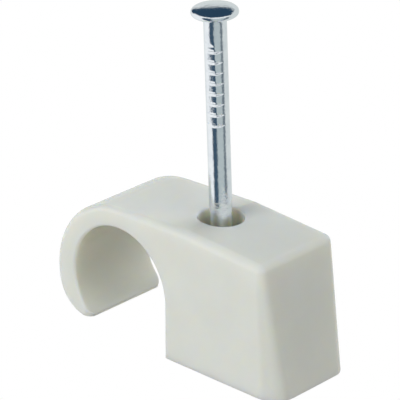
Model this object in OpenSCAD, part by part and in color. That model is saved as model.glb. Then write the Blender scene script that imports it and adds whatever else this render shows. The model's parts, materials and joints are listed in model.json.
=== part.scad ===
// Nail-in cable clip: a moulded hook and block with its steel nail set ready to drive.
// Millimetres. X runs from the hook to the outer end of the block, Y along the cable,
// Z away from the wall. The origin is on the wall face, under the mouth of the nail hole.

/* [Cable seat] */
// Diameter of the round seat that grips the cable
seat_d = 11.1; // [6:0.1:16]
// Height of the seat's axis above the wall face
seat_height = 5.1; // [3:0.1:8]
// Rounding of the seat's rims at both faces
seat_rim = 0.28; // [0.1:0.01:0.5]

/* [Arch and hook] */
// Wall over the top of the seat
crown_wall = 1.9; // [1.2:0.1:4]
// Wall at the far left of the hook
hook_wall = 2.3; // [1.2:0.1:4]
// How much larger the arch's outer radius is than the seat's
arch_step = 2.2; // [1.8:0.1:2.6]
// How far the centre of the hook's lower bend lies below the arch's
hook_drop = 0.6; // [0.1:0.1:1]
// Gap between the hook's tip and the wall
tip_gap = 0.6; // [0.2:0.1:1.2]
// Radius of the hook's rounded tip
tip_round = 0.2; // [0.15:0.05:0.4]
// Rounding of the arch's outer edges
arch_edge = 0.6; // [0.2:0.05:0.8]

/* [Block] */
// Length of the clip along the cable
depth = 9.4; // [6:0.1:16]
// Length of the block's foot, from the cable side to the outer end
foot_length = 13.2; // [9:0.1:20]
// Height of the block at the nail
block_height = 12.9; // [9:0.1:20]
// Lean of the outer end, in degrees
end_lean = 9.3; // [0:0.1:15]
// Fall of the top from the nail to the outer end, in degrees
top_fall = 3.8; // [0:0.1:8]
// Rounding of the top's edges beside the nail
ridge_edge = 0.7; // [0.3:0.05:1.2]
// Rounding of the top's outer corners
end_edge = 0.8; // [0.3:0.05:1.4]
// Radius of the two outer corners at the wall face
foot_corner = 1.4; // [0.8:0.1:3]

/* [Nail hole] */
// Distance from the cable side of the block to the hole's mouth centre
hole_inset = 2.4; // [1.8:0.1:5]
// Diameter of the hole's wide mouth
mouth_d = 4.1; // [3:0.1:6]
// Depth of the wide mouth
mouth_depth = 3; // [1:0.1:6]
// Rounding of the mouth's rim
mouth_rim = 0.15; // [0.05:0.01:0.3]
// Radial clearance of the nail in the narrow part of the hole
nail_fit = 0.02; // [0:0.01:0.1]

/* [Nail] */
// Diameter of the nail's shank
nail_d = 2; // [1.2:0.1:3]
// Length of the nail under its head
nail_length = 30; // [15:0.5:45]
// Lean of the nail and its hole towards the cable, in degrees
nail_lean = 2.5; // [0:0.1:5]
// How far the head stands above the block before it is driven
nail_stand = 18.1; // [0:0.1:30]
// Diameter of the nail's head
head_d = 4.1; // [2.5:0.1:7]
// Thickness of the head at its edge
head_edge = 0.8; // [0.2:0.05:1.2]
// Rise of the domed top above the head's edge
head_dome = 0.35; // [0.1:0.05:1]
// Height of the flare under the head
neck = 0.35; // [0:0.05:1]
// Length of the nail's point
point = 3; // [1:0.1:5]

/* [Grip marks] */
// Marks down each side of the shank
grip_count = 8; // [0:1:14]
// Spacing of the marks
grip_pitch = 0.94; // [0.5:0.02:2]
// Distance from the head to the first mark
grip_start = 2.8; // [1:0.1:8]
// Depth of each mark
grip_depth = 0.06; // [0.02:0.01:0.15]
// Width of each mark along the nail
grip_width = 0.34; // [0.1:0.02:0.6]
// Part of the turn that each mark covers, in degrees
grip_span = 125; // [40:5:170]
// Direction that the marks of one side face, in degrees from +X
grip_turn = -75; // [-180:5:180]

/* [Hidden] */
$fn = 64;
over = 1;
half_depth = depth / 2;
seat_r = seat_d / 2;
cable_side = -hole_inset;
seat_x = cable_side - seat_r;
outer_end = cable_side + foot_length;

// The arch's outer circle, set by the walls over and beside the seat
arch_r = seat_r + arch_step;
arch_left = seat_x - seat_r - hook_wall;
arch_top = seat_height + seat_r + crown_wall;
arch_x = arch_left + arch_r;
arch_z = arch_top - arch_r;

// The hook's lower bend, inside the arch's circle and tangent to it just past its far left
bend_z = arch_z - hook_drop;
bend_r = bend_z - tip_gap;
bend_from_arch = arch_r - bend_r;
bend_turn = asin(hook_drop / bend_from_arch);
bend_x = arch_x - bend_from_arch * cos(bend_turn);

// The tip's centre, tangent to the seat from outside and to the bend from inside
tip_from_seat = seat_r + tip_round;
tip_from_bend = bend_r - tip_round;
span_x = bend_x - seat_x;
span_z = bend_z - seat_height;
span = norm([span_x, span_z]);
tip_along = (tip_from_seat * tip_from_seat - tip_from_bend * tip_from_bend + span * span) / (2 * span);
tip_across = sqrt(tip_from_seat * tip_from_seat - tip_along * tip_along);
tip_x = seat_x + (tip_along * span_x - tip_across * span_z) / span;
tip_z = seat_height + (tip_along * span_z + tip_across * span_x) / span;
tip_from = atan2(seat_height - tip_z, seat_x - tip_x);
tip_to = atan2(tip_z - bend_z, tip_x - bend_x);

// Centre of the rounding where the falling top meets the leaning end
end_x = (outer_end - end_edge / cos(end_lean)
    - tan(end_lean) * (block_height - end_edge / cos(top_fall))) / (1 - tan(end_lean) * tan(top_fall));
end_z = block_height - tan(top_fall) * end_x - end_edge / cos(top_fall);

bore_r = nail_d / 2 + nail_fit;
mouth_r = mouth_d / 2;
head_r = head_d / 2;

// Half section of a disc on the cable's axis, with its rim rounded at both faces
module disc_section(r) {
    half_flat = half_depth - arch_edge;
    translate([0, -half_depth]) square([r - arch_edge, depth]);
    translate([0, -half_flat]) square([r, 2 * half_flat]);
    for (side = [-1, 1])
        translate([r - arch_edge, side * half_flat]) circle(arch_edge);
}

// Sector of a rimmed disc about a line along the cable, from one angle to another
module disc_sector(x, z, r, from, to) {
    translate([x, 0, z])
        rotate([90, 0, 0])
            rotate([0, 0, from])
                rotate_extrude(angle = to - from) disc_section(r);
}

// Upper half of the arch and the hook's side below it, still filled
module arch() {
    disc_sector(arch_x, arch_z, arch_r, 0, 180);
    disc_sector(arch_x, arch_z, arch_r, 180, 180 + bend_turn);
}

// Point on the tip's circle, or further out, at an angle
function tip_point(angle, r = tip_round) = [tip_x + r * cos(angle), tip_z + r * sin(angle)];

// What lies beyond the hook's tip, which the tip's own rounding ends in a few flats
module beyond_tip() {
    flats = 5;
    turn = (tip_to - tip_from) / flats;
    corner_r = tip_round / cos(turn / 2);
    rotate([90, 0, 0])
        linear_extrude(depth + 2 * over, center = true)
            polygon([
                tip_point(tip_from, seat_r),
                for (i = [0 : flats - 1]) tip_point(tip_from + (i + 0.5) * turn, corner_r),
                tip_point(tip_to, over),
                [seat_x, -over],
            ]);
}

// Lower bend of the hook, which starts a hair inside the arch, still filled, ended at its tip
module lower_bend() {
    hair = 0.04;
    into_arch = 8;
    past_bottom = 30;
    difference() {
        disc_sector(bend_x, bend_z, bend_r - hair, 180 + bend_turn - into_arch, 270 + past_bottom);
        beyond_tip();
    }
}

// Ball of radius r that touches a side face, the other one mirrored
module ball_pair(x, z, r) {
    for (side = [-1, 1])
        translate([x, side * (half_depth - r), z]) sphere(r, $fn = 40);
}

// Block with its falling top, leaning end and corners that widen to the foot
module block() {
    foot = 0.05;
    hull() {
        ball_pair(arch_x, arch_top - arch_edge - 0.02, arch_edge);
        ball_pair(0, block_height - ridge_edge, ridge_edge);
        ball_pair(end_x, end_z, end_edge);
        for (side = [-1, 1])
            translate([outer_end - foot_corner, side * (half_depth - foot_corner), 0])
                cylinder(r = foot_corner, h = foot, $fn = 80);
        translate([cable_side - seat_rim, -half_depth, 0]) cube([foot, depth, foot]);
    }
}

// Half section of what a round opening takes out, flared at both faces
module flared_section(r, rim) {
    flat = half_depth - rim;
    translate([0, -half_depth - over]) square([r, depth + 2 * over]);
    for (side = [-1, 1])
        difference() {
            translate([r - rim, side > 0 ? flat : -half_depth - over]) square([2 * rim, rim + over]);
            translate([r + rim, side * flat]) circle(rim);
        }
}

// Round seat of the cable with the straight way down to the wall
module cable_way() {
    translate([seat_x, 0, seat_height])
        rotate([90, 0, 0])
            rotate_extrude() flared_section(seat_r, seat_rim);
    translate([seat_x, 0, -over])
        linear_extrude(seat_height + over) flared_section(seat_r, seat_rim);
}

// Places what follows the nail: zero at the hole's mouth, leaning with the nail
module on_nail_axis() {
    translate([0, 0, block_height]) rotate([0, -nail_lean, 0]) children();
}

// Nail hole: wide mouth with a rounded rim, cone, then a close hole through to the wall
module nail_hole() {
    cone = mouth_r - bore_r;
    below = block_height + 2 * over;
    on_nail_axis()
        rotate_extrude()
            difference() {
                polygon([
                    [0, -below],
                    [bore_r, -below],
                    [bore_r, -mouth_depth - cone],
                    [mouth_r, -mouth_depth],
                    [mouth_r, -mouth_rim],
                    [mouth_r + mouth_rim, -mouth_rim],
                    [mouth_r + mouth_rim, over],
                    [0, over],
                ]);
                translate([mouth_r + mouth_rim, -mouth_rim]) circle(mouth_rim);
            }
}

// Moulded plastic hook and block
module clip_body() {
    color([0.82, 0.83, 0.81])
        difference() {
            union() {
                arch();
                lower_bend();
                block();
            }
            cable_way();
            nail_hole();
        }
}

// Shank with its point and the flare under the head
module shank() {
    r = nail_d / 2;
    rotate_extrude()
        polygon([
            [0, -nail_length],
            [r, -nail_length + point],
            [r, -neck],
            [r + neck, 0],
            [0, 0],
        ]);
}

// Low domed head with a rounded edge
module head() {
    bead = head_edge / 2;
    flat_r = head_r - bead;
    dome_r = (flat_r * flat_r + head_dome * head_dome) / (2 * head_dome);
    rotate_extrude() {
        square([flat_r, head_edge]);
        intersection() {
            translate([flat_r, bead]) circle(bead);
            square([head_r + over, head_edge]);
        }
        intersection() {
            translate([0, head_edge + head_dome - dome_r]) circle(dome_r);
            translate([0, bead]) square([flat_r, bead + head_dome]);
        }
    }
}

// Rows of shallow marks that the nail machine's jaws leave on both sides
module grip_marks() {
    r = nail_d / 2;
    for (turn = [0, 180], i = [0 : 1 : grip_count - 1])
        translate([0, 0, -grip_start - i * grip_pitch])
            rotate([0, 0, grip_turn + turn - grip_span / 2])
                rotate_extrude(angle = grip_span)
                    polygon([
                        [r - grip_depth, 0],
                        [r + grip_depth, -grip_width],
                        [r + grip_depth, grip_width],
                    ]);
}

// Zinc-plated steel nail, set in its hole and ready to drive
module nail() {
    color([0.72, 0.75, 0.8])
        on_nail_axis()
            translate([0, 0, nail_stand])
                difference() {
                    union() {
                        shank();
                        head();
                    }
                    grip_marks();
                }
}

clip_body();
nail();
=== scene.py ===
import json
import math

import bmesh
import bpy
import numpy as np
from mathutils import Matrix, Vector


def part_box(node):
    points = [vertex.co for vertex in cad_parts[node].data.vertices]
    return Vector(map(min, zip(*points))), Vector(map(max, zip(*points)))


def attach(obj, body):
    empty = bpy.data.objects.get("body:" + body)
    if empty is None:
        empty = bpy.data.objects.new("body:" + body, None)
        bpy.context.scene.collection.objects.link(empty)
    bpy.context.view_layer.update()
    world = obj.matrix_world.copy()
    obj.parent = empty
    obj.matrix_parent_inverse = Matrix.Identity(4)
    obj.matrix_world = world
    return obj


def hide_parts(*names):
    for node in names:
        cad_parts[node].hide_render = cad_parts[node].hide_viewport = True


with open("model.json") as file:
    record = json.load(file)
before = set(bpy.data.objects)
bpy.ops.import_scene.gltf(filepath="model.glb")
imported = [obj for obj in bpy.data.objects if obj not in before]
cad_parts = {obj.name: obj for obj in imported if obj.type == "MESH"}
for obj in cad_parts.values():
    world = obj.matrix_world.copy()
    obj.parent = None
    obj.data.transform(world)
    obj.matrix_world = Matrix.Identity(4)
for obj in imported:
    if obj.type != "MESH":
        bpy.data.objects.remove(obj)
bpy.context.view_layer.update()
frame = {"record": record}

MM = 0.001

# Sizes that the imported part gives, in millimetres
body_low, body_high = (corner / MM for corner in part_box("clip_body"))
mounts = {mount["name"]: mount for mount in frame["record"]["mounts"]}
SEAT_X = mounts["cable_seat"]["pos_m"][0] / MM
SEAT_Z = mounts["cable_seat"]["pos_m"][2] / MM
SEAT_R = mounts["cable_seat"]["dims"]["r_mm"]
HALF_DEPTH = body_high.y
OUTER_END = body_high.x
HOOK_LEFT = body_low.x
BLOCK_TOP = body_high.z

# Arch and hook, in millimetres and degrees
CROWN_WALL = 1.9
ARCH_STEP = 2.2
ARCH_R = SEAT_R + ARCH_STEP
ARCH_X = HOOK_LEFT + ARCH_R
ARCH_Z = SEAT_Z + SEAT_R + CROWN_WALL - ARCH_R
HOOK_DROP = 0.6
BEND_MIDDLE = 225.0
TIP_GAP = 0.6
TIP_R = 0.2
TIP_CORNER = 1.1

# Block
END_LEAN = 9.3
TOP_FALL = 3.8
END_R = 0.8
RIDGE_R = 2.0
FOOT_EDGE = 0.2
FOOT_EDGE_STEPS = 4
FOOT_EDGE_ANGLE = 55.0

# Rounding of the rims along the outline
RIM_FOOT = 1.65
RIM_FOOT_FRONT = 2.25
RIM_END = 0.76
RIM_TOP_END = 0.7
RIM_RIDGE = 0.75
RIM_ARCH = 0.58
RIM_BEND = 0.42
RIM_TIP = 0.16
RIM_SEAT = 0.28
RIM_STEPS = 8

# Points along each stretch of the outline, and which of the tip's points is its middle
END_STATIONS = 16
CORNER_STATIONS = 14
FALL_STATIONS = 30
RIDGE_STATIONS = 6
RISE_STATIONS = 26
ARCH_STATIONS = 84
BEND_STATIONS = 20
HOOK_STATIONS = 30
TIP_STATIONS = 13
TIP_MIDDLE = 5
LIP_STATIONS = 50
SEAT_STATIONS = 110
CABLE_SIDE_STATIONS = 10

# Narrow faces across the hook's tip on each side of the clip
TIP_RUNGS = 14

# Nail
NAIL_LEAN = 2.5
NAIL_R = 1.0
NAIL_STAND = 18.1
NAIL_LENGTH = 30.0
POINT = 3.0
POINT_TIP = 0.3
POINT_TIP_R = 0.12
NECK = 0.35
HEAD_R = 2.05
HEAD_EDGE = 0.8
HEAD_DOME = 0.34
HEAD_RIM = 0.42
HEAD_UNDER = 1.45
HEAD_FULLNESS = 2.35
NAIL_SEGMENTS = 112
SHANK_STEP = 0.1
SHANK_ROWS = 30
COLLAR_ROWS = 10
NECK_ROWS = 8
HEAD_RIM_ROWS = 12
DOME_ROWS = 40

# Nail hole
MOUTH_R = 2.05
MOUTH_DEPTH = 3.0
MOUTH_RIM = 0.18
MOUTH_RIM_LIFT = 0.003
MOUTH_RIM_POINTS = 7
BORE_R = 1.02
HOLE_SEGMENTS = 128
CUTTER_MARGIN = 0.3
CUTTER_RISE = 0.02
CUTTER_ABOVE = 1.0
CUTTER_BELOW = 2.0

# Barbs pressed into the shank by the nail machine's jaws, and the flat that they stand on
BARB_COUNT = 8
BARB_PITCH = 0.945
BARB_START = 2.82
BARB_END = BARB_START + (BARB_COUNT - 1) * BARB_PITCH
BARB_DEPTH = 0.085
BARB_RUN_SLOPE = 0.4
BARB_LIP_SLOPE = 0.37
BARB_FACING = -74.0
BARB_HALF_SPAN = 66.0
FLAT_TURN = 2.0
FLAT_HALF_SPAN = 21.0
FLAT_SHARE = 0.7
FLAT_FADE_IN = 0.3
FLAT_FADE_OUT = 0.2
MARK_ROUNDNESS = 0.8
MARK_ROWS = 330
MARK_ABOVE = 0.6
MARK_BELOW = 0.3

# Slanted nick just above the barbs
NICK_START = 2.2
NICK_SLANT = 0.004
NICK_FACING = -97.0
NICK_HALF_SPAN = 42.0
NICK_DEPTH = 0.08

# Shading: edges sharper than these angles stay sharp, and large faces count for more by this weight
CLIP_SHARP = 40.0
NAIL_SHARP = 50.0
FLAT_WEIGHT = 60

# Nearer than this, two lengths count as the same
SAME = 1e-6


def unit(angle):
    """Direction in the XZ plane at an angle in degrees."""
    return np.array([math.cos(math.radians(angle)), math.sin(math.radians(angle))])


def ridge_rise():
    """Slope of the top from the arch up to the ridge, tangent to the arch, in degrees."""
    to_ridge = np.array([-ARCH_X, BLOCK_TOP - ARCH_Z])
    facing = math.degrees(math.atan2(to_ridge[1], to_ridge[0]))
    return facing + math.degrees(math.acos(ARCH_R / np.linalg.norm(to_ridge))) - 90.0


RIDGE_RISE = ridge_rise()


def top_height(x):
    """Height of the block's top at x, before its edges are rounded."""
    slope = TOP_FALL if x > 0 else -RIDGE_RISE
    return BLOCK_TOP - math.tan(math.radians(slope)) * x


class Outline:
    """The clip seen along the cable: stations with a place, an outward normal and a rim radius."""

    def __init__(self):
        self.place = []
        self.normal = []
        self.rim = []

    def add(self, places, normals, rims):
        """Adds stations, without the first one where the last stretch ended on it."""
        skip = 1 if self.place and np.linalg.norm(self.place[-1] - places[0]) < SAME else 0
        self.place += list(places[skip:])
        self.normal += list(normals[skip:])
        self.rim += list(rims[skip:])

    def line(self, start, stop, normal, rim_from, rim_to, count):
        """Straight stretch."""
        share = np.linspace(0.0, 1.0, count)
        places = [start + (stop - start) * s for s in share]
        self.add(places, [normal] * count, np.linspace(rim_from, rim_to, count))

    def arc(self, centre, radius, turn_from, turn_to, rim_from, rim_to, count, hollow=False):
        """Round stretch between two angles in degrees, with the solid outside it where it is hollow."""
        turns = np.linspace(turn_from, turn_to, count)
        side = -1.0 if hollow else 1.0
        places = [centre + radius * unit(t) for t in turns]
        self.add(places, [side * unit(t) for t in turns], np.linspace(rim_from, rim_to, count))


def hook_geometry():
    """Centres and angles of the hook's bend and of its rounded tip."""
    arch = np.array([ARCH_X, ARCH_Z])
    seat = np.array([SEAT_X, SEAT_Z])
    bend_r = ARCH_Z - HOOK_DROP - TIP_GAP
    bend_turn = math.degrees(math.asin(HOOK_DROP / (ARCH_R - bend_r)))
    bend = arch + (ARCH_R - bend_r) * unit(180.0 + bend_turn)
    span = bend - seat
    from_seat = SEAT_R + TIP_R
    from_bend = bend_r - TIP_R
    reach = np.linalg.norm(span)
    along = (from_seat ** 2 - from_bend ** 2 + reach ** 2) / (2.0 * reach)
    across = math.sqrt(from_seat ** 2 - along ** 2)
    tip = seat + (along * span + across * np.array([-span[1], span[0]])) / reach
    tip_on_bend = math.degrees(math.atan2(tip[1] - bend[1], tip[0] - bend[0])) % 360.0
    tip_on_seat = math.degrees(math.atan2(tip[1] - seat[1], tip[0] - seat[0])) % 360.0
    return bend, bend_r, bend_turn, tip, tip_on_bend, tip_on_seat


def end_corner():
    """Centre of the rounding between the block's top and its leaning outer end."""
    lean = math.tan(math.radians(END_LEAN))
    fall = math.tan(math.radians(TOP_FALL))
    below_top = END_R / math.cos(math.radians(TOP_FALL))
    x = OUTER_END - END_R / math.cos(math.radians(END_LEAN)) - lean * (BLOCK_TOP - below_top)
    x /= 1.0 - lean * fall
    return np.array([x, top_height(x) - below_top])


def ridge_centre():
    """Centre of the rounding where the top turns from rising to falling."""
    half_turn = math.radians((TOP_FALL + RIDGE_RISE) / 2.0)
    axis = unit(90.0 + (RIDGE_RISE - TOP_FALL) / 2.0)
    return np.array([0.0, BLOCK_TOP]) - axis * RIDGE_R / math.cos(half_turn)


def clip_outline():
    """Outline from the outer end of the foot over the top and round the hook to the foot's cable side."""
    outline = Outline()
    end_normal = unit(END_LEAN)
    fall_normal = unit(90.0 - TOP_FALL)
    rise_normal = unit(90.0 + RIDGE_RISE)
    corner = end_corner()
    ridge = ridge_centre()
    arch = np.array([ARCH_X, ARCH_Z])
    seat = np.array([SEAT_X, SEAT_Z])
    foot_end = np.array([OUTER_END, 0.0])
    seat_end = np.array([SEAT_X + SEAT_R, SEAT_Z])
    foot_start = np.array([SEAT_X + SEAT_R, 0.0])
    bend, bend_r, bend_turn, tip, tip_on_bend, tip_on_seat = hook_geometry()
    bend_start = 180.0 + bend_turn

    outline.line(foot_end, corner + END_R * end_normal, end_normal, RIM_FOOT, RIM_END, END_STATIONS)
    outline.arc(corner, END_R, END_LEAN, 90.0 - TOP_FALL, RIM_END, RIM_TOP_END, CORNER_STATIONS)
    outline.line(corner + END_R * fall_normal, ridge + RIDGE_R * fall_normal, fall_normal,
                 RIM_TOP_END, RIM_RIDGE, FALL_STATIONS)
    outline.arc(ridge, RIDGE_R, 90.0 - TOP_FALL, 90.0 + RIDGE_RISE, RIM_RIDGE, RIM_RIDGE, RIDGE_STATIONS)
    outline.line(ridge + RIDGE_R * rise_normal, arch + ARCH_R * rise_normal, rise_normal,
                 RIM_RIDGE, RIM_ARCH, RISE_STATIONS)
    outline.arc(arch, ARCH_R, 90.0 + RIDGE_RISE, bend_start, RIM_ARCH, RIM_ARCH, ARCH_STATIONS)
    outline.arc(bend, bend_r, bend_start, BEND_MIDDLE, RIM_ARCH, RIM_BEND, BEND_STATIONS)
    outline.arc(bend, bend_r, BEND_MIDDLE, tip_on_bend, RIM_BEND, RIM_TIP, HOOK_STATIONS)
    middle_of_tip = len(outline.place) + TIP_MIDDLE
    outline.arc(tip, TIP_R, tip_on_bend, tip_on_seat + 180.0, RIM_TIP, RIM_TIP, TIP_STATIONS)
    outline.arc(seat, SEAT_R, tip_on_seat, 180.0, RIM_TIP, RIM_SEAT, LIP_STATIONS, hollow=True)
    outline.arc(seat, SEAT_R, 180.0, 0.0, RIM_SEAT, RIM_SEAT, SEAT_STATIONS, hollow=True)
    outline.line(seat_end, foot_start, np.array([-1.0, 0.0]), RIM_SEAT, RIM_SEAT, CABLE_SIDE_STATIONS)
    return outline, middle_of_tip


def half_widths(outline, middle_of_tip):
    """Half the width at each station: the full depth, but less at the tip, whose corners are rounded."""
    place = np.array(outline.place)
    steps = np.linalg.norm(np.diff(place, axis=0), axis=1)
    along = np.concatenate([[0.0], np.cumsum(steps)])
    from_tip = np.abs(along - along[middle_of_tip])
    inside = np.clip(TIP_CORNER - from_tip, 0.0, None)
    return HALF_DEPTH - (TIP_CORNER - np.sqrt(TIP_CORNER ** 2 - inside ** 2))


def mesh_object(name, bm):
    """New object with the bmesh's faces, in metres."""
    mesh = bpy.data.meshes.new(name)
    bm.to_mesh(mesh)
    bm.free()
    mesh.transform(Matrix.Scale(MM, 4))
    obj = bpy.data.objects.new(name, mesh)
    bpy.context.scene.collection.objects.link(obj)
    return obj


def clip_ribs(bm, outline, middle_of_tip):
    """Rows of points across the clip, one for each station, with the rim's rounding at both ends."""
    widths = half_widths(outline, middle_of_tip)
    quarter = np.radians(np.linspace(0.0, 90.0, RIM_STEPS + 1))
    last = len(outline.place) - 1
    ribs = []
    for i, (place, normal, rim) in enumerate(zip(outline.place, outline.normal, outline.rim)):
        inset = -normal
        front_rim = rim
        if i < END_STATIONS:
            level = i / (END_STATIONS - 1.0)
            inset = -(normal * level + np.array([1.0, 0.0]) * (1.0 - level))
            front_rim += (RIM_FOOT_FRONT - RIM_FOOT) * (1.0 - level)
        rib = []
        for side, edge, turns in ((-1.0, front_rim, quarter), (1.0, rim, quarter[::-1])):
            for turn in turns:
                x, z = place + inset * edge * (1.0 - math.sin(turn))
                y = side * (widths[i] - edge * (1.0 - math.cos(turn)))
                rib.append(bm.verts.new((x, y, 0.0 if i in (0, last) else z)))
        ribs.append(rib)
    return ribs


def clip_shell():
    """Skin over the ribs, closed by two side faces and the foot's flat face."""
    outline, tip = clip_outline()
    bm = bmesh.new()
    ribs = clip_ribs(bm, outline, tip)
    across = len(ribs[0])
    for rib, after in zip(ribs, ribs[1:]):
        for j in range(across - 1):
            bm.faces.new((rib[j], after[j], after[j + 1], rib[j + 1]))
    for j in (0, across - 1):
        ring = [rib[j] for rib in ribs]
        bm.faces.new((ring[tip], ring[tip + 1], ring[tip - 1]))
        for k in range(1, TIP_RUNGS):
            bm.faces.new((ring[tip - k], ring[tip + k], ring[tip + k + 1], ring[tip - k - 1]))
        bm.faces.new(ring[:tip - TIP_RUNGS + 1] + ring[tip + TIP_RUNGS:])
    bm.faces.new(ribs[0] + ribs[-1][::-1])
    bmesh.ops.recalc_face_normals(bm, faces=bm.faces)
    return mesh_object("clip_body_moulded", bm)


def lathe(bm, profile, segments, place):
    """Turns a profile of (radius, height) points, with place() putting each point where it belongs."""
    rings = []
    for radius, height in profile:
        if radius < SAME:
            rings.append([bm.verts.new(place(0.0, 0.0, height))])
            continue
        turns = np.linspace(0.0, 2.0 * math.pi, segments, endpoint=False)
        rings.append([bm.verts.new(place(radius, turn, height)) for turn in turns])
    for lower, upper in zip(rings, rings[1:]):
        for k in range(segments):
            after = (k + 1) % segments
            corners = [lower[k % len(lower)], lower[after % len(lower)],
                       upper[after % len(upper)], upper[k % len(upper)]]
            distinct = list(dict.fromkeys(corners))
            if len(distinct) > 2:
                bm.faces.new(distinct)


NAIL_FRAME = Matrix.Translation((0.0, 0.0, BLOCK_TOP)) @ Matrix.Rotation(math.radians(-NAIL_LEAN), 4, "Y")


def nail_hole():
    """Solid that the nail hole takes out of the block, with a rim that follows the block's top."""
    bottom = -BLOCK_TOP - CUTTER_BELOW
    cone = MOUTH_R - BORE_R
    profile = [(0.0, bottom), (BORE_R, bottom), (BORE_R, -MOUTH_DEPTH - cone), (MOUTH_R, -MOUTH_DEPTH)]
    for turn in np.radians(np.linspace(0.0, 90.0, MOUTH_RIM_POINTS)):
        radius = MOUTH_R + MOUTH_RIM * (1.0 - math.cos(turn))
        profile.append((radius, MOUTH_RIM * (math.sin(turn) - 1.0) + MOUTH_RIM_LIFT))
    outside = MOUTH_R + MOUTH_RIM + CUTTER_MARGIN
    profile += [(outside, CUTTER_RISE), (outside, CUTTER_ABOVE), (0.0, CUTTER_ABOVE)]

    def place(radius, turn, height):
        x = radius * math.cos(turn)
        y = radius * math.sin(turn)
        if height > -MOUTH_DEPTH:
            return Vector((x, y, top_height(x) + height))
        return NAIL_FRAME @ Vector((x, y, height))

    bm = bmesh.new()
    lathe(bm, profile, HOLE_SEGMENTS, place)
    bmesh.ops.recalc_face_normals(bm, faces=bm.faces)
    return mesh_object("nail_hole_cutter", bm)


def bake_modifiers(obj):
    """Works the object's modifiers into its mesh."""
    graph = bpy.context.evaluated_depsgraph_get()
    mesh = bpy.data.meshes.new_from_object(obj.evaluated_get(graph))
    obj.modifiers.clear()
    obj.data = mesh


def smooth(obj, sharp_angle):
    """Smooth shading that keeps edges sharper than the angle, and flats flat."""
    obj.data.polygons.foreach_set("use_smooth", [True] * len(obj.data.polygons))
    obj.data.set_sharp_from_angle(angle=math.radians(sharp_angle))
    weighted = obj.modifiers.new("even_flats", "WEIGHTED_NORMAL")
    weighted.keep_sharp = True
    weighted.weight = FLAT_WEIGHT


def make_clip():
    """Moulded hook and block with a softly rounded foot and its nail hole."""
    clip = clip_shell()
    edge = clip.modifiers.new("foot_edge", "BEVEL")
    edge.width = FOOT_EDGE * MM
    edge.segments = FOOT_EDGE_STEPS
    edge.limit_method = "ANGLE"
    edge.angle_limit = math.radians(FOOT_EDGE_ANGLE)
    cutter = nail_hole()
    cut = clip.modifiers.new("nail_hole", "BOOLEAN")
    cut.object = cutter
    cut.operation = "DIFFERENCE"
    cut.solver = "EXACT"
    bake_modifiers(clip)
    bpy.data.objects.remove(cutter)
    smooth(clip, CLIP_SHARP)
    return clip


def groove(deepest, above_lip):
    """Depth of a mark's section: one flank from above down to the lip and another below it."""
    slope = BARB_RUN_SLOPE if above_lip > 0.0 else BARB_LIP_SLOPE
    return max(0.0, deepest - slope * abs(above_lip))


def angle_from(facing, turn):
    """Signed angle in degrees from a direction round the shank to a turn in radians."""
    return (math.degrees(turn) - facing + 180.0) % 360.0 - 180.0


def across_mark(off, half_span):
    """Share of a mark's depth at an angle off its middle."""
    return math.cos(math.radians(90.0 * off / half_span)) ** MARK_ROUNDNESS


def flat_depth(off, below):
    """How deep the jaw's flat lies at an angle off its middle, fading out at both ends of the barbs."""
    if abs(off) >= FLAT_HALF_SPAN:
        return 0.0
    fade_in = max(0.0, (below - BARB_START + BARB_PITCH) / FLAT_FADE_IN)
    fade_out = max(0.0, (BARB_END - below) / FLAT_FADE_OUT)
    chord = math.cos(math.radians(FLAT_HALF_SPAN)) / math.cos(math.radians(off))
    return NAIL_R * (1.0 - chord) * FLAT_SHARE * min(1.0, fade_in, fade_out)


def mark_depth(turn, below):
    """How far the shank is pressed in at an angle round it and a distance below the head."""
    depth = 0.0
    pressed = 0.0
    for facing in (BARB_FACING, BARB_FACING + 180.0):
        off = angle_from(facing, turn)
        pressed += flat_depth(off + FLAT_TURN, below)
        if abs(off) < BARB_HALF_SPAN:
            nearest = min(max(round((below - BARB_START) / BARB_PITCH), 0), BARB_COUNT - 1)
            lip = BARB_START + nearest * BARB_PITCH
            depth = max(depth, groove(BARB_DEPTH * across_mark(off, BARB_HALF_SPAN), lip - below))
    off = angle_from(NICK_FACING, turn)
    if abs(off) < NICK_HALF_SPAN:
        lip = NICK_START + NICK_SLANT * off
        depth = max(depth, groove(NICK_DEPTH * across_mark(off, NICK_HALF_SPAN), lip - below))
    return depth + pressed


def nail_profile():
    """Half section of the nail from its point to its head's top, with heights from under the head."""
    marked_from = -(BARB_END + MARK_BELOW)
    marked_to = -(NICK_START - MARK_ABOVE)
    profile = [(0.0, -NAIL_LENGTH), (POINT_TIP_R, -NAIL_LENGTH + POINT_TIP)]
    shank = np.linspace(-NAIL_LENGTH + POINT, marked_from - SHANK_STEP, SHANK_ROWS)
    marked = np.linspace(marked_from, marked_to, MARK_ROWS)
    collar = np.linspace(marked_to + SHANK_STEP, -NECK - SHANK_STEP, COLLAR_ROWS)
    profile += [(NAIL_R, height) for height in np.concatenate([shank, marked, collar])]
    for turn in np.radians(np.linspace(0.0, 90.0, NECK_ROWS)):
        profile.append((NAIL_R + NECK * (1.0 - math.cos(turn)), -NECK + NECK * math.sin(turn)))
    for turn in np.radians(np.linspace(-90.0, 0.0, HEAD_RIM_ROWS)):
        radius = HEAD_UNDER + (HEAD_R - HEAD_UNDER) * math.cos(turn)
        profile.append((radius, HEAD_RIM * (1.0 + math.sin(turn))))
    rise = HEAD_EDGE + HEAD_DOME - HEAD_RIM
    power = 2.0 / HEAD_FULLNESS
    for turn in np.radians(np.linspace(0.0, 90.0, DOME_ROWS))[1:-1]:
        profile.append((HEAD_R * math.cos(turn) ** power, HEAD_RIM + rise * math.sin(turn) ** power))
    profile.append((0.0, HEAD_EDGE + HEAD_DOME))
    return profile


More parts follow.
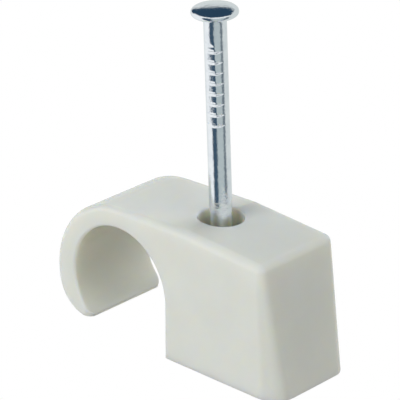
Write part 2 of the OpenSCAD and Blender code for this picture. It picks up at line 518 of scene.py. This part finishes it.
def make_nail():
    """Steel nail with a domed head, pressed barbs and a point."""

    def place(radius, turn, height):
        if abs(radius - NAIL_R) < SAME:
            radius -= mark_depth(turn, -height)
        x = radius * math.cos(turn)
        y = radius * math.sin(turn)
        return NAIL_FRAME @ Vector((x, y, NAIL_STAND + height))

    bm = bmesh.new()
    lathe(bm, nail_profile(), NAIL_SEGMENTS, place)
    bmesh.ops.recalc_face_normals(bm, faces=bm.faces)
    nail = mesh_object("nail_zinc", bm)
    smooth(nail, NAIL_SHARP)
    return nail


# Middle of a noise's range
NOISE_LOW = 0.3
NOISE_HIGH = 0.7

# Sockets of the mix node for colours
MIX_SHARE = 0
MIX_FIRST = 6
MIX_SECOND = 7
MIX_RESULT = 2


class Nodes:
    """Short calls for building a node tree."""

    def __init__(self, tree):
        self.tree = tree
        tree.nodes.clear()

    def new(self, kind, **sockets):
        """New node, with its sockets set by name, or by number after an underscore."""
        node = self.tree.nodes.new(kind)
        for name, value in sockets.items():
            key = int(name[1:]) if name[0] == "_" else name
            self.set(node, key, value)
        return node

    def set(self, node, key, value):
        """Links a socket to another node's output, or gives it a plain value."""
        socket = node.inputs[key]
        if isinstance(value, bpy.types.NodeSocket):
            self.tree.links.new(value, socket)
        else:
            socket.default_value = value

    def math(self, operation, a, b):
        """Result of one step of arithmetic."""
        node = self.new("ShaderNodeMath", _0=a, _1=b)
        node.operation = operation
        return node.outputs[0]

    def noise(self, vector, scale, detail, rough=0.5):
        """Cloudy noise at a place."""
        node = self.new("ShaderNodeTexNoise", Vector=vector, Scale=scale, Detail=detail, Roughness=rough)
        return node.outputs["Fac"]

    def spread(self, value, low, high, out_low, out_high):
        """Maps a range of values onto another range."""
        node = self.new("ShaderNodeMapRange", _0=value, _1=low, _2=high, _3=out_low, _4=out_high)
        return node.outputs[0]

    def varied(self, noise, out_low, out_high):
        """Maps the middle of a noise's range onto another range."""
        return self.spread(noise, NOISE_LOW, NOISE_HIGH, out_low, out_high)

    def blend(self, share, a, b):
        """Mix of two colours."""
        node = self.tree.nodes.new("ShaderNodeMix")
        node.data_type = "RGBA"
        self.set(node, MIX_SHARE, share)
        self.set(node, MIX_FIRST, a)
        self.set(node, MIX_SECOND, b)
        return node.outputs[MIX_RESULT]

    def bump(self, height, strength, distance, normal=None):
        """Normal of a surface with small hills, on top of another such normal where there is one."""
        node = self.new("ShaderNodeBump", Strength=strength, Distance=distance, Height=height)
        if normal is not None:
            self.set(node, "Normal", normal)
        return node.outputs[0]

    def ramp(self, value, stops):
        """Colour ramp over 0 to 1."""
        node = self.new("ShaderNodeValToRGB", Fac=value)
        elements = node.color_ramp.elements
        while len(elements) < len(stops):
            elements.new(0.5)
        for element, (at, colour) in zip(elements, stops):
            element.position = at
            element.color = opaque(colour)
        return node.outputs[0]


def opaque(colour):
    """Colour with full alpha."""
    return (*colour, 1.0)


def material(name):
    """New material with its node builder and a principled shader wired to the output."""
    made = bpy.data.materials.new(name)
    made.use_nodes = True
    nodes = Nodes(made.node_tree)
    shader = nodes.new("ShaderNodeBsdfPrincipled")
    output = nodes.new("ShaderNodeOutputMaterial")
    nodes.set(output, "Surface", shader.outputs[0])
    return made, nodes, shader


def clip_plastic():
    """Light grey moulded plastic: a little translucent, semi-gloss, with a fine mould grain."""
    deep_grey = (0.785, 0.795, 0.715)
    pale_grey = (0.81, 0.82, 0.745)
    made, nodes, shader = material("clip_plastic_moulded")
    where = nodes.new("ShaderNodeTexCoord").outputs["Object"]
    cloudy = nodes.noise(where, scale=260.0, detail=3.0)
    patchy = nodes.noise(where, scale=700.0, detail=4.0)
    grain = nodes.noise(where, scale=5200.0, detail=3.0, rough=0.6)
    waves = nodes.noise(where, scale=330.0, detail=1.0)
    normal = nodes.bump(grain, strength=0.06, distance=0.02 * MM)
    normal = nodes.bump(waves, strength=0.05, distance=0.12 * MM, normal=normal)
    colour = nodes.blend(nodes.varied(cloudy, 0.0, 1.0), opaque(deep_grey), opaque(pale_grey))
    nodes.set(shader, "Base Color", colour)
    nodes.set(shader, "Roughness", nodes.varied(patchy, 0.11, 0.17))
    nodes.set(shader, "Normal", normal)
    nodes.set(shader, "IOR", 1.5)
    nodes.set(shader, "Subsurface Weight", 1.0)
    nodes.set(shader, "Subsurface Radius", (1.0, 0.85, 0.6))
    nodes.set(shader, "Subsurface Scale", 1.8 * MM)
    return made


def nail_zinc():
    """Bright zinc plating: mirror-like with a faint blue tone, fine speckle and drawn lines."""
    deep_zinc = (0.74, 0.78, 0.83)
    pale_zinc = (0.83, 0.86, 0.89)
    made, nodes, shader = material("nail_steel_zinc")
    where = nodes.new("ShaderNodeTexCoord").outputs["Object"]
    speckle = nodes.noise(where, scale=3000.0, detail=4.0, rough=0.65)
    stretch = nodes.new("ShaderNodeMapping", Vector=where, Scale=(5000.0, 5000.0, 260.0)).outputs[0]
    drawn = nodes.noise(stretch, scale=1.0, detail=3.0)
    clouds = nodes.noise(where, scale=900.0, detail=3.0)
    normal = nodes.bump(speckle, strength=0.5, distance=0.05 * MM)
    normal = nodes.bump(drawn, strength=0.12, distance=0.02 * MM, normal=normal)
    colour = nodes.blend(nodes.varied(clouds, 0.0, 1.0), opaque(deep_zinc), opaque(pale_zinc))
    nodes.set(shader, "Base Color", colour)
    nodes.set(shader, "Metallic", 1.0)
    nodes.set(shader, "Roughness", nodes.varied(speckle, 0.06, 0.14))
    nodes.set(shader, "Normal", normal)
    return made


def dress(obj, made, node):
    """Gives a piece its material, hangs it under the root body and hides the CAD node that it stands for.
    """
    obj.data.materials.clear()
    obj.data.materials.append(made)
    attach(obj, "root")
    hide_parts(node)


# Camera at the photograph's viewing angle
CAMERA_AZIMUTH = 43.1
CAMERA_ELEVATION = 24.2
CAMERA_DISTANCE = 230.0
CAMERA_TARGET = Vector((-2.5, 0.0, 13.592))
FOCAL_PIXELS = 2646.2
IMAGE_PIXELS = 400.0
SENSOR_WIDTH = 36.0
NEAREST_SEEN = 10.0
FARTHEST_SEEN = 20000.0

# Table top that the camera sees, and the pale sheet under it that returns light to the clip
FLOOR_REACH = 900.0
FLOOR_GRID = 8
FLOOR_DROP = 0.02
SHEET_DROP = 8.0
SHEET_COLOUR = (0.40, 0.37, 0.30)
SHEET_ROUGHNESS = 0.9
SHEET_GLOW_COLOUR = (1.0, 0.97, 0.9)
SHEET_GLOW = 0.02

# Soft lights: name, then azimuth and elevation in degrees, distance and size in millimetres, and watts
LIGHT_TINT = (0.97, 1.0, 1.075)
LIGHT_TARGET = Vector((0.0, 0.0, 8.0))
LIGHTS = [
    ("key", -24.0, 62.0, 260.0, 90.0, 0.115),
    ("front", 2.0, 10.0, 300.0, 300.0, 0.745),
    ("left", -80.0, 12.0, 300.0, 300.0, 0.30),
    ("right", 90.0, 25.0, 300.0, 300.0, 0.28),
    ("back", 180.0, 35.0, 300.0, 300.0, 0.62),
]

# Brightness of the backdrop to the camera, and of the studio in mirror-like surfaces
BACKDROP = (1.2, 1.2, 1.2)
STUDIO_STRENGTH = 0.87


def toward(azimuth, elevation):
    """Direction from the object, azimuth 0 in front of it and growing to the right."""
    turn = math.radians(azimuth)
    lift = math.radians(elevation)
    return Vector((math.sin(turn) * math.cos(lift), -math.cos(turn) * math.cos(lift), math.sin(lift)))


def aim(obj, target):
    """Turns an object's -Z towards a point in millimetres."""
    obj.rotation_euler = (target * MM - obj.location).to_track_quat("-Z", "Y").to_euler()


def make_camera():
    """Camera that sees the clip as the photograph does."""
    data = bpy.data.cameras.new("camera")
    data.sensor_fit = "HORIZONTAL"
    data.sensor_width = SENSOR_WIDTH
    data.lens = FOCAL_PIXELS / IMAGE_PIXELS * SENSOR_WIDTH
    data.clip_start = NEAREST_SEEN * MM
    data.clip_end = FARTHEST_SEEN * MM
    camera = bpy.data.objects.new("camera", data)
    bpy.context.scene.collection.objects.link(camera)
    camera.location = (CAMERA_TARGET + CAMERA_DISTANCE * toward(CAMERA_AZIMUTH, CAMERA_ELEVATION)) * MM
    aim(camera, CAMERA_TARGET)
    bpy.context.scene.camera = camera


def floor_white():
    """Plain white that shows at full brightness."""
    made = bpy.data.materials.new("floor_white")
    made.use_nodes = True
    nodes = Nodes(made.node_tree)
    glow = nodes.new("ShaderNodeEmission", Color=opaque((1.0, 1.0, 1.0)), Strength=1.0)
    output = nodes.new("ShaderNodeOutputMaterial")
    nodes.set(output, "Surface", glow.outputs[0])
    return made


def sheet_pale():
    """Matt pale sheet with a faint glow."""
    made, nodes, shader = material("sheet_pale")
    nodes.set(shader, "Base Color", opaque(SHEET_COLOUR))
    nodes.set(shader, "Roughness", SHEET_ROUGHNESS)
    nodes.set(shader, "Emission Color", opaque(SHEET_GLOW_COLOUR))
    nodes.set(shader, "Emission Strength", SHEET_GLOW)
    return made


def make_floor(name, made, drop, seen):
    """Large level plane, either seen by the camera or only returning light."""
    bm = bmesh.new()
    bmesh.ops.create_grid(bm, x_segments=FLOOR_GRID, y_segments=FLOOR_GRID, size=FLOOR_REACH)
    floor = mesh_object(name, bm)
    floor.location.z = -drop * MM
    floor.data.materials.append(made)
    floor.visible_camera = seen
    floor.visible_diffuse = not seen
    floor.visible_glossy = False
    floor.visible_shadow = not seen


def area_light(name, azimuth, elevation, distance, size, power):
    """Round soft light aimed at the clip, hidden from mirror-like surfaces."""
    data = bpy.data.lights.new(name, "AREA")
    data.shape = "DISK"
    data.size = size * MM
    data.energy = power
    data.color = LIGHT_TINT
    light = bpy.data.objects.new(name, data)
    bpy.context.scene.collection.objects.link(light)
    light.location = (LIGHT_TARGET + distance * toward(azimuth, elevation)) * MM
    aim(light, LIGHT_TARGET)
    light.visible_glossy = False


def studio_colour(nodes):
    """Pale, grey and dark fields round the object, by the turn from the photograph's side and height."""
    white = (1.15, 1.16, 1.15)
    pale_grey = (0.84, 0.88, 0.86)
    grey = (0.59, 0.66, 0.66)
    shade = (0.19, 0.23, 0.26)
    stripe = (0.065, 0.115, 0.17)
    dark = (0.03, 0.07, 0.12)
    horizon_fade = 0.10
    dark_fade = 0.015
    way = nodes.new("ShaderNodeTexCoord").outputs["Generated"]
    parts = nodes.new("ShaderNodeSeparateXYZ", Vector=way).outputs
    height = parts[2]
    whole_turn = 2.0 * math.pi
    front = 0.5 - math.radians(CAMERA_AZIMUTH - 90.0) / whole_turn
    share = nodes.math("MULTIPLY", nodes.math("ARCTAN2", parts[1], parts[0]), 1.0 / whole_turn)
    turn = nodes.math("FRACT", nodes.math("ADD", share, front), 0.0)
    low = nodes.ramp(turn, [
        (0.0, pale_grey), (0.20, white), (0.322, white), (0.336, stripe), (0.448, stripe), (0.462, grey),
        (0.625, grey), (0.64, shade), (0.69, shade), (0.71, pale_grey), (1.0, pale_grey)])
    horizon = nodes.ramp(turn, [
        (0.0, pale_grey), (0.20, white), (0.62, white), (0.70, pale_grey), (1.0, pale_grey)])
    around = nodes.blend(nodes.spread(height, -horizon_fade, 0.0, 0.0, 1.0), low, horizon)
    dark_from = [(0.0, 0.47), (0.05, 0.45), (0.07, 0.05), (0.16, 0.05), (0.19, 0.40),
                 (0.74, 0.40), (0.80, 0.56), (0.93, 0.54), (1.0, 0.47)]
    start = nodes.ramp(turn, [(at, (level, level, level)) for at, level in dark_from])
    overhead = nodes.spread(nodes.math("SUBTRACT", height, start), -dark_fade, dark_fade, 0.0, 1.0)
    return nodes.blend(overhead, around, opaque(dark))


def make_studio():
    """Surroundings that the bright nail mirrors, with a white backdrop behind the object."""
    world = bpy.data.worlds.new("studio")
    bpy.context.scene.world = world
    world.use_nodes = True
    world.cycles.sampling_method = "NONE"
    nodes = Nodes(world.node_tree)
    ray = nodes.new("ShaderNodeLightPath").outputs
    colour = nodes.blend(ray["Is Camera Ray"], studio_colour(nodes), opaque(BACKDROP))
    strength = nodes.spread(ray["Is Diffuse Ray"], 0.0, 1.0, STUDIO_STRENGTH, 0.0)
    background = nodes.new("ShaderNodeBackground", Color=colour, Strength=strength)
    output = nodes.new("ShaderNodeOutputWorld")
    nodes.set(output, "Surface", background.outputs[0])


dress(make_clip(), clip_plastic(), "clip_body")
dress(make_nail(), nail_zinc(), "nail")
make_camera()
make_floor("floor", floor_white(), FLOOR_DROP, seen=True)
make_floor("sheet", sheet_pale(), SHEET_DROP, seen=False)
make_studio()
for light in LIGHTS:
    area_light(*light)
bpy.context.scene.view_settings.view_transform = "Standard"
